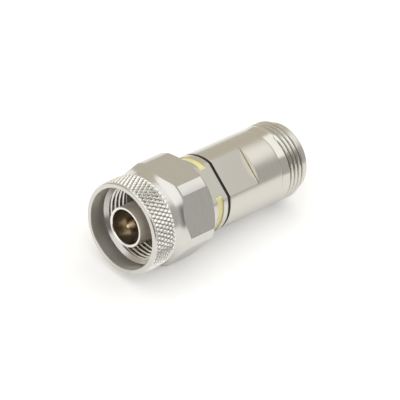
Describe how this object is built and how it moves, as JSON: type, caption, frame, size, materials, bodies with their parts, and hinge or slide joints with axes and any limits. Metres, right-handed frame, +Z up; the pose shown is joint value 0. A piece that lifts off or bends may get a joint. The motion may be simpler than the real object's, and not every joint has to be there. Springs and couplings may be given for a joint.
{
  "type": "coaxial adapter",
  "caption": "Straight steel coaxial adapter: a plug with a knurled hexagonal coupling nut and centre pin at one end, and a threaded jack with a slotted socket at the other.",
  "frame": {"origin": "on the adapter's axis, at the front of the plug's outer contact", "axes": "+X along the axis from the plug to the jack, +Z up, with one flat of the coupling nut facing straight down"},
  "size_m": [0.0449, 0.0208, 0.019],
  "materials": {
    "nut_steel": "turned and knurled stainless steel, satin",
    "body_steel": "turned and milled stainless steel, satin",
    "contact_steel": "finely turned, bright",
    "spring_steel": "drawn spring wire, satin",
    "gold_plate": "gold-plated, bright",
    "bead_plastic": "turned white plastic, matt",
    "gasket_rubber": "matt",
    "seam_rubber": "matt",
    "yellow_enamel": "enamel, satin"
  },
  "bodies": {
    "adapter": {"retaining_ring": "spring_steel", "face_gasket": "gasket_rubber", "plug_body": "body_steel", "outer_contact": "contact_steel", "plug_pin": "gold_plate", "plug_bead": "bead_plastic", "inner_rod": "gold_plate", "marker_band": "yellow_enamel", "seam_ring": "seam_rubber", "jack_body": "body_steel", "jack_bead": "bead_plastic", "jack_socket": "gold_plate"},
    "nut": {"coupling_nut": "nut_steel"}
  },
  "joints": [
    {"name": "nut_spin", "type": "hinge", "parent": "adapter", "child": "nut", "pos_m": [0.0075, 0, 0], "axis": [1, 0, 0], "continuous": true}
  ]
}
